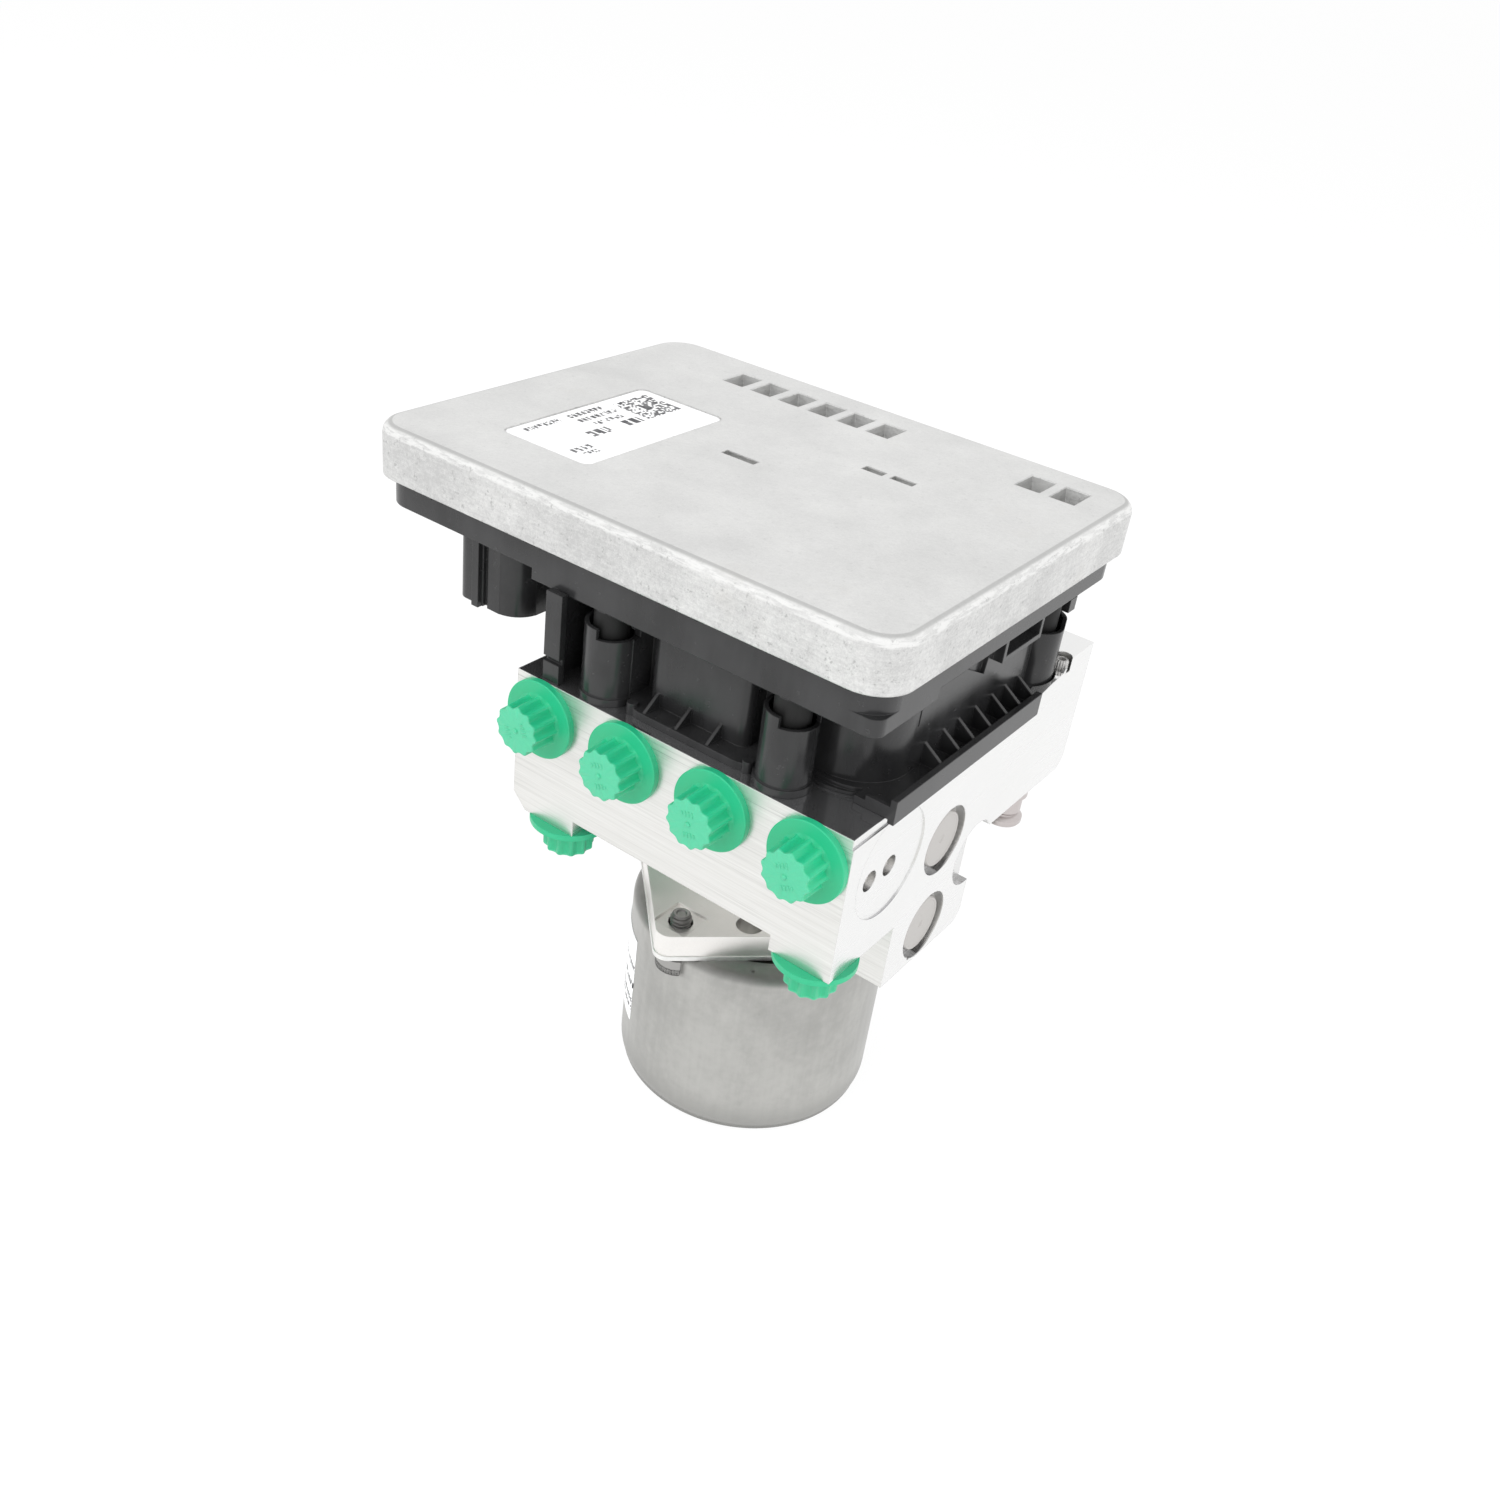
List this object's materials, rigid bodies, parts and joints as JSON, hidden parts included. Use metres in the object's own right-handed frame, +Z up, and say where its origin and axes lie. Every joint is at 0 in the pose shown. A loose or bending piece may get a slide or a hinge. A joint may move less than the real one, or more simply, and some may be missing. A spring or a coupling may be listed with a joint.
{
  "type": "abs brake module",
  "caption": "Anti-lock brake module: bright alloy valve block with pump motor below, black control unit with cast cover above, and green transit caps in its ports.",
  "frame": {"origin": "centre of the pump motor's flat lower end face", "axes": "+Z up along the motor axis towards the control unit's cover; the four wheel ports face -Y; +X is the side with the plugged pump and damper bores, away from the connector"},
  "size_m": [0.1441, 0.1228, 0.1565],
  "materials": {
    "cover_alloy": "satin",
    "block_alloy": "satin",
    "housing_plastic": "satin",
    "cap_green": "satin",
    "motor_steel": "satin",
    "flange_steel": "satin",
    "plate_metal": "satin",
    "fastener_steel": "satin",
    "plug_steel": "satin",
    "stud_steel": "satin",
    "label_white": "matte",
    "sealant": "matte",
    "board_green": "gloss",
    "chip_black": "matte",
    "can_alloy": "satin",
    "pin_brass": "satin",
    "coil_body": "satin",
    "valve_steel": "satin",
    "shaft_steel": "satin",
    "core_steel": "matte",
    "copper": "satin",
    "ferrite": "matte",
    "carbon": "matte",
    "brush_plastic": "matte",
    "spring_steel": "satin",
    "gasket_rubber": "matte"
  },
  "bodies": {
    "unit": {"ecu_cover": "cover_alloy", "cover_label": "label_white", "cover_seal": "sealant", "circuit_board": "board_green", "board_chips": "chip_black", "board_capacitors": "can_alloy", "ecu_housing": "housing_plastic", "housing_screws": "fastener_steel", "housing_gasket": "gasket_rubber", "connector_pins": "pin_brass", "coils_inlet": "coil_body", "coils_outlet": "coil_body", "coils_circuit": "coil_body", "valves_inlet": "valve_steel", "valves_outlet": "valve_steel", "valves_circuit": "valve_steel", "pressure_sensor": "valve_steel", "valve_block": "block_alloy", "pump_plugs": "plug_steel", "damper_plugs": "plug_steel", "drilling_plugs": "plug_steel", "pump_spring_right": "spring_steel", "pump_spring_left": "spring_steel", "accumulator_spring_left": "spring_steel", "accumulator_spring_right": "spring_steel", "accumulator_caps": "plug_steel", "mounting_stud": "stud_steel", "locating_pin": "stud_steel", "motor_can": "motor_steel", "motor_flange": "flange_steel", "adapter_plate": "plate_metal", "plate_screws": "fastener_steel", "motor_screws": "fastener_steel", "magnets": "ferrite", "lower_bearing": "shaft_steel", "upper_bearing": "shaft_steel", "brush_holder": "brush_plastic", "brushes": "carbon", "brush_springs": "spring_steel", "motor_lead": "brush_plastic", "motor_label": "label_white"},
    "rotor": {"motor_shaft": "shaft_steel", "armature_core": "core_steel", "armature_windings": "copper", "commutator": "copper"},
    "eccentric_ring": {"eccentric_bearing": "shaft_steel"},
    "piston_right": {"pump_piston_right": "shaft_steel"},
    "piston_left": {"pump_piston_left": "shaft_steel"},
    "accumulator_left": {"accumulator_piston_left": "can_alloy"},
    "accumulator_right": {"accumulator_piston_right": "can_alloy"},
    "cap_wheel_1_body": {"cap_wheel_1": "cap_green"},
    "cap_wheel_2_body": {"cap_wheel_2": "cap_green"},
    "cap_wheel_3_body": {"cap_wheel_3": "cap_green"},
    "cap_wheel_4_body": {"cap_wheel_4": "cap_green"},
    "cap_master_1_body": {"cap_master_1": "cap_green"},
    "cap_master_2_body": {"cap_master_2": "cap_green"}
  },
  "joints": [
    {"name": "rotor_turn", "type": "hinge", "parent": "unit", "child": "rotor", "pos_m": [0, 0, 0.03], "axis": [0, 0, 1], "continuous": true},
    {"name": "eccentric_ring_turn", "type": "hinge", "parent": "rotor", "child": "eccentric_ring", "pos_m": [0.0007, 0, 0.0672], "axis": [0, 0, 1], "continuous": true},
    {"name": "pump_stroke_right", "type": "slide", "parent": "unit", "child": "piston_right", "axis": [1, 0, 0], "range_m": [0, 0.0014], "stiffness_N_per_m": 1500, "springref_m": -0.003, "deforming": ["pump_spring_right"]},
    {"name": "pump_stroke_left", "type": "slide", "parent": "unit", "child": "piston_left", "axis": [-1, 0, 0], "range_m": [0, 0.0014], "stiffness_N_per_m": 1500, "springref_m": -0.003, "deforming": ["pump_spring_left"]},
    {"name": "accumulator_stroke_left", "type": "slide", "parent": "unit", "child": "accumulator_left", "axis": [0, 0, -1], "range_m": [0, 0.008], "stiffness_N_per_m": 1200, "springref_m": -0.006, "deforming": ["accumulator_spring_left"]},
    {"name": "accumulator_stroke_right", "type": "slide", "parent": "unit", "child": "accumulator_right", "axis": [0, 0, -1], "range_m": [0, 0.008], "stiffness_N_per_m": 1200, "springref_m": -0.006, "deforming": ["accumulator_spring_right"]},
    {"name": "cap_wheel_1_out", "type": "slide", "parent": "unit", "child": "cap_wheel_1_body", "axis": [0, -1, 0], "range_m": [0, 0.012]},
    {"name": "cap_wheel_2_out", "type": "slide", "parent": "unit", "child": "cap_wheel_2_body", "axis": [0, -1, 0], "range_m": [0, 0.012]},
    {"name": "cap_wheel_3_out", "type": "slide", "parent": "unit", "child": "cap_wheel_3_body", "axis": [0, -1, 0], "range_m": [0, 0.012]},
    {"name": "cap_wheel_4_out", "type": "slide", "parent": "unit", "child": "cap_wheel_4_body", "axis": [0, -1, 0], "range_m": [0, 0.012]},
    {"name": "cap_master_1_out", "type": "slide", "parent": "unit", "child": "cap_master_1_body", "axis": [0, 0, -1], "range_m": [0, 0.012]},
    {"name": "cap_master_2_out", "type": "slide", "parent": "unit", "child": "cap_master_2_body", "axis": [0, 0, -1], "range_m": [0, 0.012]}
  ]
}
